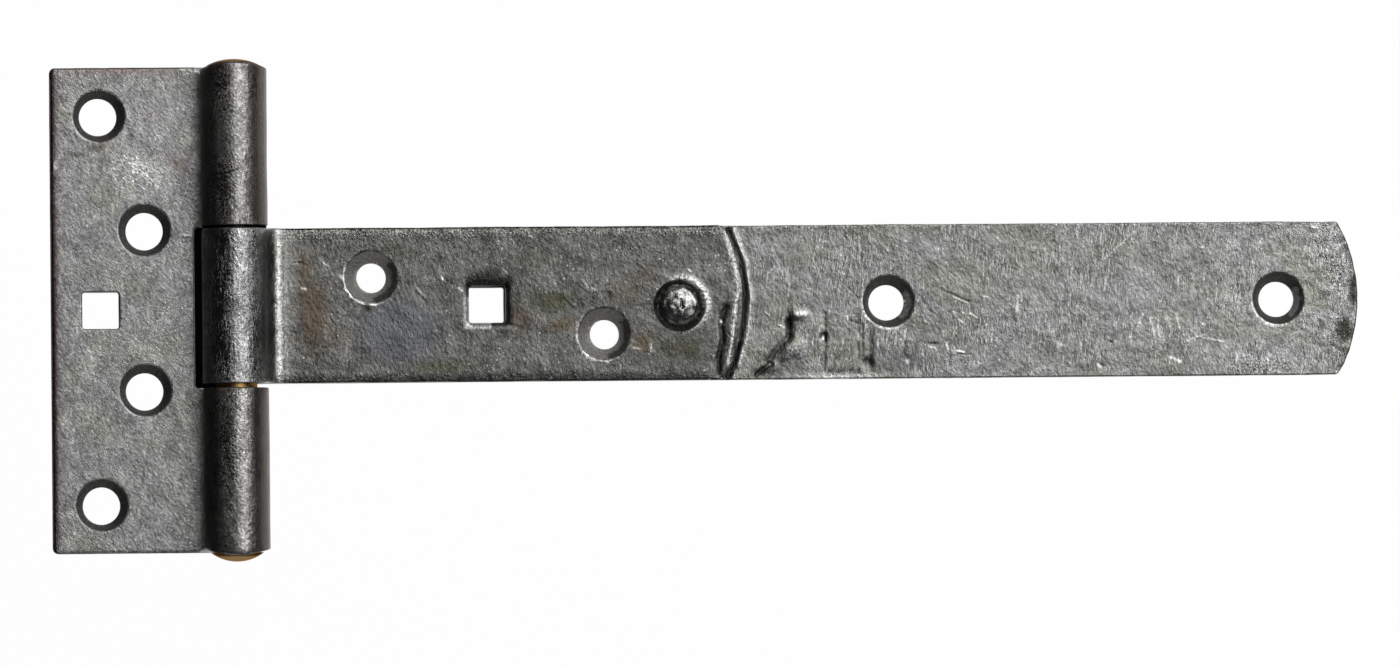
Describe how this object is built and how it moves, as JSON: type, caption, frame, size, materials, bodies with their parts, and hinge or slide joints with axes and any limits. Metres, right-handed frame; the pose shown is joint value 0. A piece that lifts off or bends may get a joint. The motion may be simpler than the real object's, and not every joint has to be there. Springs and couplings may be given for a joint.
{
  "type": "tee hinge",
  "caption": "Hot-dip galvanised tee hinge: short countersunk flap and long folded strap on a riveted pin, with square holes for coach bolts.",
  "frame": {"origin": "on the back of the flap, at the centre of its square bolt hole, midway between its two outer screw holes", "axes": "+X along the strap towards its tip, +Y along the pin, +Z out of the mounting plane, towards the countersunk faces"},
  "size_m": [0.3386, 0.13, 0.0172],
  "materials": {
    "galvanised_steel": "hot-dip galvanised, matt grey zinc with fine grain, scuffs and a few dark stains",
    "pin_metal": "dull brownish, brass-coloured passivated pin",
    "rivet_steel": "upset by hammer and galvanised with the strap"
  },
  "bodies": {
    "flap": {"flap": "galvanised_steel", "pin": "pin_metal"},
    "strap": {"strap": "galvanised_steel", "lap_rivet": "rivet_steel"}
  },
  "joints": [
    {"name": "leaf_swing", "type": "hinge", "parent": "flap", "child": "strap", "pos_m": [0.0344, 0, 0.00858], "axis": [0, -1, 0], "range_deg": [-99, 189]}
  ]
}
